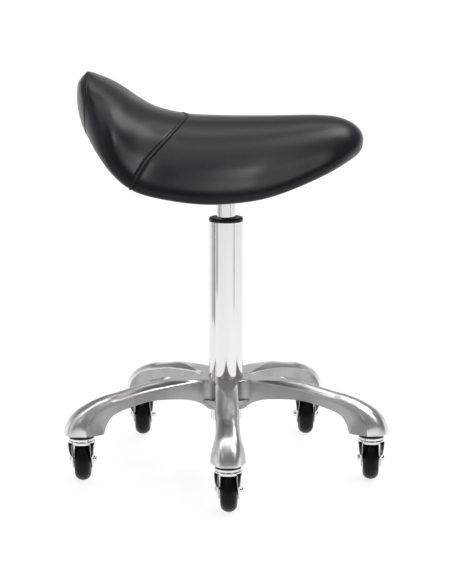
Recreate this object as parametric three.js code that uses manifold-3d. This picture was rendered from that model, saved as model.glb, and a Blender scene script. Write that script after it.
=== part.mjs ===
// Saddle stool: a padded saddle seat on a gas lift column, with a cast five armed base on swivel casters.
// Millimetres, +Z up. The origin is on the floor, on the axis of the column, and the sitter faces +X.
import * as THREE from 'three';
import { mergeVertices } from 'three/addons/utils/BufferGeometryUtils.js';
import Module from 'manifold-3d';

const wasm = await Module();
wasm.setup();

// Driving dimensions of the whole stool
const seatReach = 200; // half the length of the seat, before the cantle's bulge
const seatHalfWidth = 180;
const seatDepth = 165; // top of the cantle above the lowest point of the side flaps
const flapDropShare = 0.2321; // lowest point of the flaps below the bracket's flat, as a share of the depth
const columnDiameter = 50;
const columnStand = 231; // outer tube above the hub
const liftDiameter = 28;
const liftTravel = 200;
const casterCircleRadius = 220;
const armRise = 72; // top of the hub above the underside of the caster bosses
const wheelDiameter = 63;
const casterHead = 12; // underside of the caster bosses above the top of the wheels
const trail = 30; // axle behind the swivel axis
const armCount = 5;
const firstArmShare = -0.25; // share of a full turn where the first arm stands, which is towards -Y
const casterTurnShares = [-0.009, -0.011, 0.003, -0.003, 0]; // each caster's turn from trailing towards +Y

// Clearances, shared by all pieces
const gap = 0.3; // between pieces that touch
const runningGap = 0.35; // radial, in bores that turn or slide
const overrun = 2; // how far cutters run past what they cut
const weld = gap / 1000; // points nearer than this are one
const roundSides = 24;
const tyreSides = 20;
const turnedSides = 16;
const smallSides = 8;
const hexSides = 6;
const webCornerSides = 6;

const fullTurn = Math.PI * 2;

// Solids: closed geometry to a solid and back, with the faces turned outwards
function triangles(geometry) {
  const plain = geometry.clone();
  plain.deleteAttribute('normal');
  plain.deleteAttribute('uv');
  const merged = mergeVertices(plain, weld);
  const at = merged.attributes.position;
  const kept = [];
  let volume = 0;
  const [a, b, c] = [new THREE.Vector3(), new THREE.Vector3(), new THREE.Vector3()];
  for (let i = 0; i < merged.index.count; i += 3) {
    const [p, q, r] = [0, 1, 2].map((k) => merged.index.getX(i + k));
    if (p === q || q === r || r === p) continue;
    kept.push(p, q, r);
    b.fromBufferAttribute(at, q).cross(c.fromBufferAttribute(at, r));
    volume += a.fromBufferAttribute(at, p).dot(b);
  }
  return { places: at.array, corners: volume < 0 ? kept.reverse() : kept };
}

function solidOf(geometry) {
  const { places, corners } = triangles(geometry);
  const mesh = { numProp: 3, vertProperties: Float32Array.from(places), triVerts: Uint32Array.from(corners) };
  return new wasm.Manifold(new wasm.Mesh(mesh));
}

function geometryOf(solid) {
  const mesh = solid.getMesh();
  const geometry = new THREE.BufferGeometry();
  geometry.setAttribute('position', new THREE.BufferAttribute(Float32Array.from(mesh.vertProperties), 3));
  geometry.setIndex(Array.from(mesh.triVerts));
  const shown = geometry.toNonIndexed();
  shown.computeVertexNormals();
  return shown;
}

function join(solids) {
  return solids.reduce((whole, solid) => whole.add(solid));
}

// A turned piece: the profile is [radius, height] points round the axis
function turned(profile, sides = roundSides) {
  const points = [...profile, profile[0]].map(([r, z]) => new THREE.Vector2(r, z));
  return solidOf(new THREE.LatheGeometry(points, sides).rotateX(Math.PI / 2));
}

function washer(inner, outer, low, high, sides = roundSides) {
  return turned([[inner, low], [outer, low], [outer, high], [inner, high]], sides);
}

function disc(radius, low, high, sides = roundSides) {
  return solidOf(new THREE.CylinderGeometry(radius, radius, high - low, sides).rotateX(Math.PI / 2)
    .translate(0, 0, (low + high) / 2));
}

function crossBar(radius, left, right, y, z, sides = smallSides) {
  return solidOf(new THREE.CylinderGeometry(radius, radius, right - left, sides).rotateZ(Math.PI / 2)
    .translate((left + right) / 2, y, z));
}

function block(x, y, z) {
  return solidOf(new THREE.BoxGeometry(x[1] - x[0], y[1] - y[0], z[1] - z[0])
    .translate((x[0] + x[1]) / 2, (y[0] + y[1]) / 2, (z[0] + z[1]) / 2));
}

// A flat outline of [x, y] points, raised from low to high
function raised(outline, low, high) {
  const shape = new THREE.Shape(outline.map(([x, y]) => new THREE.Vector2(x, y)));
  const along = { depth: high - low, bevelEnabled: false };
  return solidOf(new THREE.ExtrudeGeometry(shape, along).translate(0, 0, low));
}

// A solid through rings of equal count; flat ends are closed between the two sides of the ring
function loft(rings) {
  const count = rings[0].length;
  const corners = [];
  for (let i = 0; i + 1 < rings.length; i += 1) {
    for (let j = 0; j < count; j += 1) {
      const [p, q] = [i * count + j, i * count + ((j + 1) % count)];
      corners.push(p, q, q + count, p, q + count, p + count);
    }
  }
  [0, rings.length - 1].forEach((end) => {
    for (let j = 0; j + 1 < count - 1 - j; j += 1) {
      const [p, q, r, s] = [j, j + 1, count - 2 - j, count - 1 - j].map((k) => end * count + k);
      const faces = q === r ? [p, q, s] : [p, q, r, p, r, s];
      corners.push(...(end === 0 ? faces.reverse() : faces));
    }
  });
  const geometry = new THREE.BufferGeometry();
  geometry.setAttribute('position', new THREE.Float32BufferAttribute(rings.flat(2), 3));
  geometry.setIndex(corners);
  return geometry;
}

// Finishes
function finish(color, roughness, metalness) {
  return new THREE.MeshStandardMaterial({ color, roughness, metalness });
}
const castAluminium = finish(0xd0cecc, 0.18, 1);
const chrome = finish(0xe0e0e0, 0.06, 1);
const steel = finish(0xa8a8a8, 0.35, 1);
const blackSteel = finish(0x1c1c1e, 0.45, 0.4);
const blackPlastic = finish(0x141416, 0.4, 0);
const blackRubber = finish(0x1a1a1c, 0.5, 0);
const leather = finish(0x2a2a2e, 0.42, 0);
const leatherEdge = finish(0x202024, 0.45, 0);
const dustCloth = finish(0x18181a, 0.95, 0);
const foam = finish(0xd8cfa8, 0.95, 0);
const plywood = finish(0xb98f5e, 0.7, 0);

const stool = new THREE.Group();
function piece(name, solid, material, parent = stool) {
  const mesh = new THREE.Mesh(geometryOf(solid), material);
  mesh.name = name;
  parent.add(mesh);
  return mesh;
}

// Heights that the pieces share
const bossUnderside = wheelDiameter + casterHead;
const hubTop = bossUnderside + armRise;
const columnTop = hubTop + columnStand;
const columnRadius = columnDiameter / 2;

// Star base: cast aluminium arms of inverted channel section that end in round toes over the casters
const toeRadius = 24.5;
const armHalfWidth = 16.6;
const webCornerRadius = 15; // fillet in plan between neighbouring arms
const castWall = 4.5;
const hubEdge = 4;
// Turned boss under the hub: shares of the column's radius outwards, and of the rise upwards
const hubBossShares = [[1.08, 0.34], [1.16, 0.37], [1.4, 0.45], [1.76, 0.54], [1.76, 0.6]];
const hubWebShare = 0.53; // underside of the webs between the arms, as a share of the rise
const armReach = casterCircleRadius + toeRadius;
// Arm sections from the hub outwards: shares of the reach, then of the rise for the wall's foot, the crease
// and the ridge, then the half width of the flat ridge as a share of the arm's half width
const armShares = [
  [0.085, 0.361, 0.944, 1.0, 0.96],
  [0.18, 0.514, 0.944, 1.0, 0.96],
  [0.245, 0.597, 0.944, 1.0, 0.9],
  [0.335, 0.639, 0.917, 1.0, 0.7],
  [0.409, 0.653, 0.889, 0.986, 0.46],
  [0.491, 0.646, 0.847, 0.958, 0.18],
  [0.605, 0.562, 0.764, 0.875, 0.12],
  [0.695, 0.472, 0.681, 0.806, 0.12],
  [0.753, 0.347, 0.625, 0.764, 0.12],
  [0.785, 0.042, 0.583, 0.729, 0.13],
];
// Toe sections fan out from the inner corner of the boss: share of a quarter turn of lean, then shares of the
// toe's length for the crease and the ridge, then the half widths at the corner, the crease and the ridge as
// shares of the toe's radius
const toeShares = [
  [0.24, 0.68, 0.905, 0.69, 0.74, 0.1],
  [0.48, 0.64, 0.93, 0.71, 0.88, 0.14],
  [0.72, 0.6, 0.975, 0.72, 0.98, 0.2],
  [0.9, 0.55, 1.0, 0.72, 1.0, 0.22],
  [1.0, 0.54, 0.95, 0.66, 0.9, 0.2],
];
const toeFootShare = 0.03; // how far the toe's leaning sections stand above the boss's underside
const shoulderOutShare = 0.6;
const shoulderUpShare = 0.68;
const ridgeRoundShare = 0.985;

// One section of an arm, up one wall, over the ridge and down the other wall
function armRing(place, crease, ridge, foot, halfFoot, halfCrease, halfRidge) {
  const shoulderOut = halfRidge + (halfCrease - halfRidge) * shoulderOutShare;
  const shoulder = [shoulderOut, crease + (ridge - crease) * shoulderUpShare];
  const top = foot + (ridge - foot) * ridgeRoundShare;
  const side = [[halfFoot, foot], [halfCrease, crease], shoulder, [halfRidge, top]];
  const otherSide = [...side].reverse().map(([across, up]) => [-across, up]);
  return [...side, [0, ridge], ...otherSide].map(([across, up]) => place(across, up));
}

function armSolid() {
  const toeLength = toeRadius + casterCircleRadius - armShares[armShares.length - 1][0] * armReach;
  const corner = armReach - toeLength;
  const rings = armShares.map(([out, foot, crease, ridge, flat]) => armRing(
    (across, up) => [out * armReach, across, bossUnderside + up],
    crease * armRise, ridge * armRise, foot * armRise, armHalfWidth, armHalfWidth, flat * armHalfWidth,
  ));
  toeShares.forEach(([lean, crease, ridge, halfFoot, halfCrease, halfRidge]) => {
    const angle = lean * fullTurn / 4;
    const foot = lean === 1 ? 0 : toeFootShare * armRise;
    rings.push(armRing(
      (across, up) => [corner + Math.sin(angle) * up, across, bossUnderside + foot + Math.cos(angle) * up],
      crease * toeLength, ridge * toeLength, 0,
      halfFoot * toeRadius, halfCrease * toeRadius, halfRidge * toeRadius,
    ));
  });
  return solidOf(loft(rings));
}

// The underside channel that lightens an arm, from beside the hub to the boss
const channelShares = [0.2, 0.3, 0.41, 0.6, 0.7, 0.76, 0.8];
const channelRoofShares = [0.83, 0.82, 0.79, 0.67, 0.58, 0.5, 0.42];

function channelSolid() {
  const half = armHalfWidth - castWall;
  return solidOf(loft(channelShares.map((out, k) => {
    const roof = bossUnderside + channelRoofShares[k] * armRise;
    const x = out * armReach;
    const low = bossUnderside - overrun;
    return [[x, half, low], [x, half, roof], [x, -half, roof], [x, -half, low]];
  })));
}

// The hub between the arms, with a round corner in plan where two arms meet
function hubSolid() {
  const half = fullTurn / armCount / 2;
  const centre = (armHalfWidth + webCornerRadius) / Math.sin(half);
  const shape = new THREE.Shape();
  for (let k = 0; k < armCount; k += 1) {
    const middle = (2 * k + 1) * half;
    const [x, y] = [Math.cos(middle) * centre, Math.sin(middle) * centre];
    const open = fullTurn / 4 - half;
    shape.absarc(x, y, webCornerRadius, middle + Math.PI + open, middle + Math.PI - open, true);
  }
  shape.closePath();
  const low = bossUnderside + hubWebShare * armRise;
  const sink = hubEdge / 2;
  const bevel = { bevelThickness: hubEdge, bevelSize: sink, bevelOffset: -sink, bevelSegments: 1 };
  const along = { depth: hubTop - low - hubEdge * 2, curveSegments: webCornerSides, ...bevel };
  const web = new THREE.ExtrudeGeometry(shape, along).translate(0, 0, low + hubEdge);
  const boss = hubBossShares.map(([out, up]) => [out * columnRadius, bossUnderside + up * armRise]);
  return solidOf(web).add(turned([[0, boss[0][1]], ...boss, [0, boss[boss.length - 1][1]]]));
}

// Column: the outer tube narrows inside the hub and has a lip at the bottom that carries the bearing
const tubeWall = 2;
const tubeTaper = 2.5;
const tubeFootRise = 8; // bottom of the tube above the underside of the caster bosses
const tubeFoot = bossUnderside + tubeFootRise;
const lipThickness = 1.7;
const lipReach = 3.5;

// The tapered bore of the hub, round the tube
function hubBore(grow) {
  const slope = tubeTaper / (hubTop - tubeFoot);
  const radiusAt = (z) => columnRadius - (hubTop - z) * slope + grow;
  const [low, high] = [tubeFoot - overrun, hubTop + overrun];
  const neck = radiusAt(hubTop);
  return turned([[0, low], [radiusAt(low), low], [neck, hubTop], [neck, high], [0, high]]);
}

const stemRadius = 5.5;
const stemLength = 30;
function starBase() {
  const arm = armSolid();
  const channel = channelSolid();
  const socketRoof = bossUnderside + stemLength + gap;
  const socket = disc(stemRadius + gap, bossUnderside - overrun, socketRoof, turnedSides)
    .translate([casterCircleRadius, 0, 0]);
  const degrees = (k) => THREE.MathUtils.radToDeg((k / armCount + firstArmShare) * fullTurn);
  const turn = (solid, k) => solid.rotate([0, 0, degrees(k)]);
  const each = (solid) => Array.from({ length: armCount }, (_, k) => turn(solid, k));
  return join([turn(hubSolid(), 0), ...each(arm)])
    .subtract(join([hubBore(gap), ...each(channel), ...each(socket)]));
}

function outerTube() {
  const [foot, neck] = [columnRadius - tubeTaper, columnRadius];
  return turned([
    [foot - tubeWall - lipReach, tubeFoot], [foot, tubeFoot], [neck, hubTop], [neck, columnTop],
    [neck - tubeWall, columnTop], [neck - tubeWall, hubTop], [foot - tubeWall, tubeFoot + lipThickness],
    [foot - tubeWall - lipReach, tubeFoot + lipThickness],
  ]);
}

// Guide bushing: a plastic sleeve in the tube, with the black collar that shows on top
const liftRadius = liftDiameter / 2;
const bushingLength = 90;
const collarHeight = 4.2;
const collarInset = 0.3;
function guideBushing() {
  const [bore, sleeve] = [liftRadius + runningGap, columnRadius - tubeWall - gap];
  const [under, over] = [columnTop + gap, columnTop + gap + collarHeight];
  return turned([
    [bore, columnTop - bushingLength], [sleeve, columnTop - bushingLength], [sleeve, under],
    [columnRadius - collarInset, under], [columnRadius - collarInset, over - collarHeight / 4],
    [columnRadius - collarInset - collarHeight / 4, over], [bore, over],
  ]);
}

// Bottom of the lift, upwards from the lip of the tube: end disc, thrust bearing and bump stop on the rod
const rodRadius = 5;
const endDiscThickness = 4;
const raceThickness = 1.5;
const ballRadius = 1.5;
const bearingRadius = 12;
const bumpStopHeight = 7.3;
const bumpStopRadius = 11;
const clipThickness = 1.4;
const clipRadius = 9;
const rodBore = rodRadius + gap;
const endDiscLow = tubeFoot + lipThickness + gap;
const lowerRaceLow = endDiscLow + endDiscThickness + gap;
const ballMiddle = lowerRaceLow + raceThickness + gap + ballRadius;
const upperRaceLow = ballMiddle + ballRadius + gap;
const bumpStopLow = upperRaceLow + raceThickness + gap;
const liftFoot = bumpStopLow + bumpStopHeight + gap;

// A ring of balls, which stand in their cage as one ring of six sided section
function ballRing() {
  const radius = (rodBore + bearingRadius) / 2;
  const section = Array.from({ length: hexSides }, (_, k) => (k + 0.5) / hexSides * fullTurn);
  return turned(section.map((turn) => [
    radius + Math.cos(turn) * ballRadius, ballMiddle + Math.sin(turn) * ballRadius,
  ]), turnedSides);
}

// Gas lift: the cylinder slides and turns on a piston rod that stands on the bottom of the tube
const liftWall = 1.2;
const rodGuideHeight = 8;
const pistonHeight = 10;
const rodHeadHeight = 3;
const rodHeadRadius = 8;
const rodTravelSpare = 10; // of the piston above it when the seat is down
const socketLength = 28;
const bracketSteel = 3;
const restGap = 26.5; // under the bracket's socket at the lowest seat height
const socketLow = columnTop + gap + collarHeight + restGap;
const boxFloorTop = socketLow + socketLength + bracketSteel;
const liftTop = boxFloorTop;
const rodTop = liftFoot + rodGuideHeight + liftTravel + pistonHeight + rodTravelSpare + rodHeadHeight;
const boreTop = rodTop + rodGuideHeight;
const buttonStemRadius = 3;
const buttonCapRadius = 4.5;
const buttonCapHeight = 4.5;
const buttonTravel = 2;
const buttonStemDepth = 12;
const buttonSpare = 1; // left under the cap when the button is down
const buttonCapLow = liftTop + buttonTravel + buttonSpare;
const buttonTop = buttonCapLow + buttonCapHeight;

function gasCylinder() {
  const bore = liftRadius - liftWall;
  const valveFoot = liftTop - buttonStemDepth - buttonTravel;
  const valve = disc(buttonStemRadius + gap, valveFoot, liftTop + overrun, smallSides);
  return turned([
    [rodRadius + runningGap, liftFoot], [bore, liftFoot], [liftRadius, liftFoot + liftWall],
    [liftRadius, liftTop - liftWall], [bore, liftTop], [0, liftTop], [0, boreTop], [bore, boreTop],
    [bore, liftFoot + rodGuideHeight], [rodRadius + runningGap, liftFoot + rodGuideHeight],
  ]).subtract(valve);
}

function pistonRod() {
  return turned([
    [0, tubeFoot - overrun], [rodRadius, tubeFoot - overrun], [rodRadius, rodTop - rodHeadHeight],
    [rodHeadRadius, rodTop - rodHeadHeight], [rodHeadRadius, rodTop], [0, rodTop],
  ], turnedSides);
}

function releaseButton() {
  const stem = disc(buttonStemRadius, liftTop - buttonStemDepth, buttonCapLow + gap, smallSides);
  return stem.add(disc(buttonCapRadius, buttonCapLow, buttonTop, smallSides));
}

// Seat bracket: pressed steel plate and box with the socket that takes the top of the lift
const boxHalf = 31;
const boxHeight = 22;
const plateHalfLength = 80;
const plateHalfWidth = 50;
const socketWall = 5;
const boltRadius = 4;
const boltInset = 15;
const boltHole = boltRadius + gap * 1.5;
const plateTop = boxFloorTop + boxHeight + bracketSteel;
const boardFlat = plateTop + gap; // underside of the board's flat pad
const leverPinRadius = 2.5;
const leverPinHead = 3.5;
const leverPinY = 20;
const leverPinRise = 12; // above the floor of the box
const leverPinZ = boxFloorTop + leverPinRise;
const leverHalfWidth = 6;
const boltPlaces = [[1, 1], [-1, 1], [-1, -1], [1, -1]]
  .map(([x, y]) => [x * (plateHalfLength - boltInset), y * (plateHalfWidth - boltInset)]);

function atBolts(solid) {
  return join(boltPlaces.map(([x, y]) => solid.translate([x, y, 0])));
}

// Four of one fastener, each a piece of its own
function fasteners(name, solid, material) {
  boltPlaces.forEach(([x, y], k) => {
    piece(`${name}_${k + 1}`, solid, material).position.set(x, y, 0);
  });
}

function seatBracket() {
  const inner = boxHalf - bracketSteel;
  const boxLow = boxFloorTop - bracketSteel;
  const plate = block([-plateHalfLength, plateHalfLength], [-plateHalfWidth, plateHalfWidth],
    [plateTop - bracketSteel, plateTop]);
  const box = block([-boxHalf, boxHalf], [-boxHalf, boxHalf], [boxLow, plateTop - bracketSteel + gap]);
  const inside = block([-inner, inner], [-inner, inner], [boxFloorTop, plateTop + overrun]);
  const socket = disc(liftRadius + gap + socketWall, socketLow, boxLow + gap);
  const bore = disc(liftRadius + gap, socketLow - overrun, plateTop);
  const slot = block([-leverHalfWidth - overrun, leverHalfWidth + overrun], [0, boxHalf + overrun],
    [boxFloorTop + bracketSteel / 2, boxFloorTop + boxHeight - bracketSteel]);
  const pinHole = crossBar(leverPinRadius + gap, -boxHalf - overrun, boxHalf + overrun, leverPinY, leverPinZ);
  const holes = atBolts(disc(boltHole, plateTop - bracketSteel - overrun, plateTop + overrun, smallSides));
  return join([plate, box, socket]).subtract(join([inside, bore, slot, pinHole, holes]));
}

// Release lever: a bent steel rod on a pin in the box, whose inner end stands over the button
const leverRodRadius = 4;
const leverEyeRadius = 5.5;
const gripRadius = 6.5;
const gripLength = 45;
const leverReach = 195; // outer end of the grip from the column axis
const leverDrop = 36; // grip axis below the floor of the box
const leverElbowInset = 22; // elbow from the inner end of the grip
const rodBendShare = 0.4;
const rodStepCount = 12;
const leverOuterZ = boxFloorTop - leverDrop;

// A round rod bent along [y, z] points
function rodAlong(points, radius) {
  const places = points.map(([y, z]) => new THREE.Vector3(0, y, z));
  const path = new THREE.CatmullRomCurve3(places, false, 'catmullrom', rodBendShare);
  const corners = Array.from({ length: smallSides }, (_, k) => new THREE.Vector2(
    Math.cos(k / smallSides * fullTurn) * radius, Math.sin(k / smallSides * fullTurn) * radius,
  ));
  const along = { steps: rodStepCount, extrudePath: path, bevelEnabled: false };
  return solidOf(new THREE.ExtrudeGeometry(new THREE.Shape(corners), along));
}

function releaseLever() {
  const gripInner = leverReach - gripLength;
  const arm = rodAlong([
    [leverPinY, leverPinZ], [leverPinY + leverEyeRadius * 2, leverPinZ - leverRodRadius / 2],
    [gripInner - leverElbowInset, leverOuterZ + leverRodRadius], [gripInner, leverOuterZ],
    [leverReach - gripRadius, leverOuterZ],
  ], leverRodRadius);
  const eye = crossBar(leverEyeRadius, -leverHalfWidth, leverHalfWidth, leverPinY, leverPinZ);
  const foot = block([-leverHalfWidth, leverHalfWidth], [-buttonCapRadius, leverPinY],
    [buttonTop + gap, leverPinZ + leverRodRadius]);
  const reach = leverHalfWidth + overrun;
  const hole = crossBar(leverPinRadius + runningGap, -reach, reach, leverPinY, leverPinZ);
  return join([arm, eye, foot]).subtract(hole);
}

function leverGrip() {
  const inner = leverReach - gripLength;
  const hole = leverRodRadius + gap;
  const round = gripRadius / 3;
  const holeEnd = leverReach - gripRadius + gap;
  return solidOf(new THREE.LatheGeometry([
    [hole, inner + gap], [gripRadius - round, inner + gap], [gripRadius, inner + round],
    [gripRadius, leverReach - round], [gripRadius - round, leverReach], [0, leverReach],
    [0, holeEnd], [hole, holeEnd], [hole, inner + gap],
  ].map(([r, y]) => new THREE.Vector2(r, y)), turnedSides).translate(0, 0, leverOuterZ));
}

function leverPin() {
  const reach = boxHalf + gap;
  const end = reach + bracketSteel;
  return crossBar(leverPinRadius, -end, end, leverPinY, leverPinZ)
    .add(crossBar(leverPinHead, reach, end, leverPinY, leverPinZ))
    .add(crossBar(leverPinHead, -end, -reach, leverPinY, leverPinZ));
}

// Seat form: rings that run from the top centre round a side flap to the centre of the underside.
// Each station gives the ring's top and low points in the side view as shares of the reach and the depth,
// the half width as a share of the seat's, and how far the ring goes from an oval to a saddle arch
const seatStationShares = [
  [-1.005, 1.0, -1.005, 1.0, 0, 0],
  [-0.97, 0.991, -1.04, 0.921, 0.244, 0],
  [-0.905, 0.952, -1.05, 0.818, 0.456, 0],
  [-0.81, 0.891, -1.035, 0.691, 0.633, 0],
  [-0.705, 0.812, -0.995, 0.521, 0.778, 0.1],
  [-0.6, 0.733, -0.93, 0.364, 0.878, 0.35],
  [-0.47, 0.67, -0.805, 0.224, 0.944, 0.7],
  [-0.275, 0.627, -0.635, 0.13, 0.989, 1],
  [-0.1, 0.624, -0.42, 0.052, 1.0, 1],
  [0.1, 0.624, -0.15, 0, 0.978, 1],
  [0.3, 0.63, 0.13, 0.012, 0.911, 1],
  [0.475, 0.636, 0.34, 0.061, 0.811, 1],
  [0.64, 0.63, 0.545, 0.118, 0.683, 0.85],
  [0.78, 0.609, 0.74, 0.185, 0.544, 0.6],
  [0.89, 0.561, 0.875, 0.255, 0.389, 0.3],
  [0.96, 0.497, 0.955, 0.327, 0.233, 0.1],
  [0.988, 0.418, 0.988, 0.418, 0, 0],
];
// Half of an arch ring: shares of the half width and of the ring's depth
const archShares = [
  [0, 0], [0.26, 0.03], [0.5, 0.12], [0.7, 0.28], [0.85, 0.52], [0.95, 0.76],
  [0.99, 0.9], [0.93, 1], [0.83, 0.95], [0.7, 0.83], [0.45, 0.67], [0, 0.59],
];
const ovalPowerShare = 0.85;
const stationsToSeamCount = 7;
const boardStationCount = 7;
const seatLow = boardFlat - flapDropShare * seatDepth;

// Places of the ring at one station, in [x, y, z], all the way round
function seatRing([topX, topZ, lowX, lowZ, halfShare, arch]) {
  const last = archShares.length - 1;
  const half = archShares.map(([across, down], k) => {
    const angle = Math.PI * k / last;
    const oval = [Math.pow(Math.abs(Math.sin(angle)), ovalPowerShare), (1 - Math.cos(angle)) / 2];
    const [a, d] = [oval[0] + (across - oval[0]) * arch, oval[1] + (down - oval[1]) * arch];
    return [
      (topX + (lowX - topX) * d) * seatReach, -a * halfShare * seatHalfWidth,
      seatLow + (topZ + (lowZ - topZ) * d) * seatDepth,
    ];
  });
  half[0][1] = 0;
  half[last][1] = 0;
  return [...half, ...half.slice(1, last).reverse().map(([x, y, z]) => [x, -y, z])];
}
const seatRings = seatStationShares.map(seatRing);

// The seat form moved inwards along its normals, or outwards where the inset is negative
function seatForm(inset) {
  const geometry = mergeVertices(loft(seatRings), weld);
  geometry.computeVertexNormals();
  const [at, normal] = [geometry.attributes.position, geometry.attributes.normal];
  const outside = normal.getZ(0) > 0 ? 1 : -1;
  const place = new THREE.Vector3();
  const out = new THREE.Vector3();
  for (let i = 0; i < at.count; i += 1) {
    place.fromBufferAttribute(at, i);
    out.fromBufferAttribute(normal, i).multiplyScalar(outside);
    place.addScaledVector(out, -inset);
    at.setXYZ(i, place.x, place.y, place.z);
  }
  geometry.deleteAttribute('normal');
  return solidOf(geometry);
}

// An upright prism over the middle of the seat: the seat's plan, drawn in to a share of its width
function seatPlan(share, grow, low, high) {
  const first = stationsToSeamCount - 1;
  const inside = seatStationShares.slice(first, first + boardStationCount);
  const side = inside.map(([, , lowX, , half]) => [lowX * seatReach, half * share * seatHalfWidth + grow]);
  side[0][0] -= grow;
  side[side.length - 1][0] += grow;
  const outline = [...side, ...[...side].reverse().map(([x, y]) => [x, -y])];
  return raised(outline, low, high);
}

// All that lies ahead of the cross seam, which runs back to both sides, moved forward by a distance
const seamSweepShare = 0.012; // of a full turn
const seamTop = seatStationShares[stationsToSeamCount];
const seamAngle = Math.atan2((seamTop[1] - seamTop[3]) * seatDepth, (seamTop[0] - seamTop[2]) * seatReach);
const seamX = seamTop[0] * seatReach;
const seamZ = seatLow + seamTop[1] * seatDepth;
function aheadOfSeam(shift) {
  const side = seatReach * 4;
  return join([-seamSweepShare, seamSweepShare].map((sweepShare) => {
    const slab = new THREE.BoxGeometry(side, side, side).translate(side / 2 + shift, 0, 0);
    return solidOf(slab.rotateZ(sweepShare * fullTurn)
      .rotateY(fullTurn / 4 - seamAngle).translate(seamX, 0, seamZ));
  }));
}

// A slab behind the upright plane of the seam round the back of the cantle, moved forward by a distance
const rearSeamShare = 1.001;
function behindRearSeam(shift, thickness = seatReach) {
  const side = seatReach * 4;
  const slab = new THREE.BoxGeometry(thickness, side, side).translate(shift - thickness / 2, 0, 0);
  return solidOf(slab.translate(-rearSeamShare * seatReach, 0, seatLow + seatDepth));
}

// Seat pieces: board, foam, leather cover in three panels, two seam strips and a dust cover
const leatherThickness = 1.5;
const boardThickness = 10;
const boardWidthShare = 0.8;
const openingWidthShare = 0.64;
const seamHalfWidth = 2.6;
const seamProud = 1.2;
const boardPadHeight = 17;
const padMargin = 4;
const teeNutBarrel = 5;
const teeNutFlange = 9.5;
const teeNutLength = 11;
const flangeThickness = 1.5;
const boardPadTop = boardFlat + boardPadHeight;
const padX = plateHalfLength + padMargin;
const padY = plateHalfWidth + padMargin;

function pad(grow, low, high) {
  return block([-padX - grow, padX + grow], [-padY - grow, padY + grow], [low, high]);
}

function seatPieces() {
  const boardTop = boardPadTop + boardThickness;
  const whole = seatForm(0);
  const inner = seatForm(leatherThickness + gap);
  const skin = whole.subtract(seatForm(leatherThickness));
  const underside = (thickness, grow) => seatPlan(boardWidthShare, grow, 0, boardTop)
    .subtract(inner.translate([0, 0, thickness]));
  const holes = atBolts(disc(teeNutBarrel + gap, boardFlat - overrun, boardPadTop + overrun, smallSides));
  const recess = atBolts(disc(teeNutFlange + gap, boardPadTop, boardTop + overrun, smallSides));
  const board = inner.intersect(underside(boardThickness, 0)).add(pad(0, boardFlat, boardPadTop))
    .subtract(join([holes, recess]));
  const taken = [underside(boardThickness + gap, gap), pad(gap, 0, boardPadTop + gap), recess];
  const core = inner.subtract(join(taken));
  const opening = (grow) => seatPlan(openingWidthShare, grow, 0, boardTop);
  const cover = skin.subtract(opening(gap));
  const ahead = aheadOfSeam(gap / 2);
  const notAhead = aheadOfSeam(-gap / 2);
  piece('seat_board', board, plywood);
  piece('foam_core', core, foam);
  piece('cover_front_panel', cover.intersect(ahead), leather);
  piece('cover_cantle_panel', cover.subtract(notAhead).subtract(behindRearSeam(gap / 2)), leather);
  piece('cover_rear_panel', cover.intersect(behindRearSeam(-gap / 2)), leather);
  piece('underside_dust_cover', skin.intersect(opening(0)).subtract(pad(gap, 0, boardPadTop)), dustCloth);
  const proud = seatForm(-seamProud).subtract(seatForm(-gap));
  const overSeam = aheadOfSeam(-seamHalfWidth).subtract(aheadOfSeam(seamHalfWidth));
  piece('cross_seam_strip', proud.intersect(overSeam).subtract(opening(gap)), leatherEdge);
  piece('rear_seam_strip', proud.intersect(behindRearSeam(seamHalfWidth / 2, seamHalfWidth)), leatherEdge);
  const barrel = disc(teeNutBarrel, boardPadTop - teeNutLength, boardPadTop + gap, smallSides);
  const flange = disc(teeNutFlange, boardPadTop + gap, boardPadTop + gap + flangeThickness, smallSides);
  const thread = disc(boltRadius + gap, 0, boardPadTop + overrun * 2, smallSides);
  fasteners('tee_nut', barrel.add(flange).subtract(thread), steel);
}

// Bolts through the bracket plate into the tee nuts
const boltHeadRadius = 6.5;
const boltHeadHeight = 5;
function seatBolt() {
  const under = plateTop - bracketSteel - gap;
  const head = disc(boltHeadRadius, under - boltHeadHeight, under, hexSides);
  return head.add(disc(boltRadius, under - gap, boardPadTop, smallSides));
}

// Caster, in its own place: the swivel axis is Z and the wheel trails towards +Y
const wheelRadius = wheelDiameter / 2;
const treadHalf = 11.75;
const hubHalf = 12.2;
const wheelHubRadius = 19;
const axleRadius = 3;
const wheelBossRadius = 7.2;
const rimWall = 2;
const rimInset = 1;
const collarRadius = 18.5;
const upperRaceHeight = 3.6;
const neckGap = 1.7; // dark gap between boss and collar
const skirtHeight = 5.4;
const crownThickness = 2.4;
const skirtWall = 2.4;
const legInner = 13;
const legPlate = 1.8;
const legOuterTop = 18.2;
const legOuterFoot = 15.6;
const legShell = 1.4;
const legEndRadius = 13.5;
const legBowRise = 8.5; // above the axle, where the bow of the leg ends
const legEndStartShare = 0.12;
const legEndSweepShare = 0.62;
const legTopHalf = 15.5;
const domeNutRadius = 4.8;
const domeNutReach = 20.5;
const domeShoulderShare = 0.75;
const domeRound = 1;
const rivetRadius = 4;
const rivetHeadRadius = 6;
const neckRadius = 8.8;
const raceTop = bossUnderside - neckGap;
const skirtTop = raceTop - upperRaceHeight - gap;
const crownLow = skirtTop - skirtHeight;

function casterStem() {
  const rivetHeadLow = crownLow - gap - legShell;
  const raceLow = raceTop - upperRaceHeight;
  return turned([
    [0, rivetHeadLow], [rivetHeadRadius, rivetHeadLow],
    [rivetHeadRadius, crownLow - gap], [rivetRadius, crownLow - gap],
    [rivetRadius, raceLow], [collarRadius, raceLow], [collarRadius, raceTop], [neckRadius, raceTop],
    [neckRadius, bossUnderside - gap], [stemRadius, bossUnderside - gap],
    [stemRadius, bossUnderside + stemLength], [0, bossUnderside + stemLength],
  ], turnedSides);
}

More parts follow.
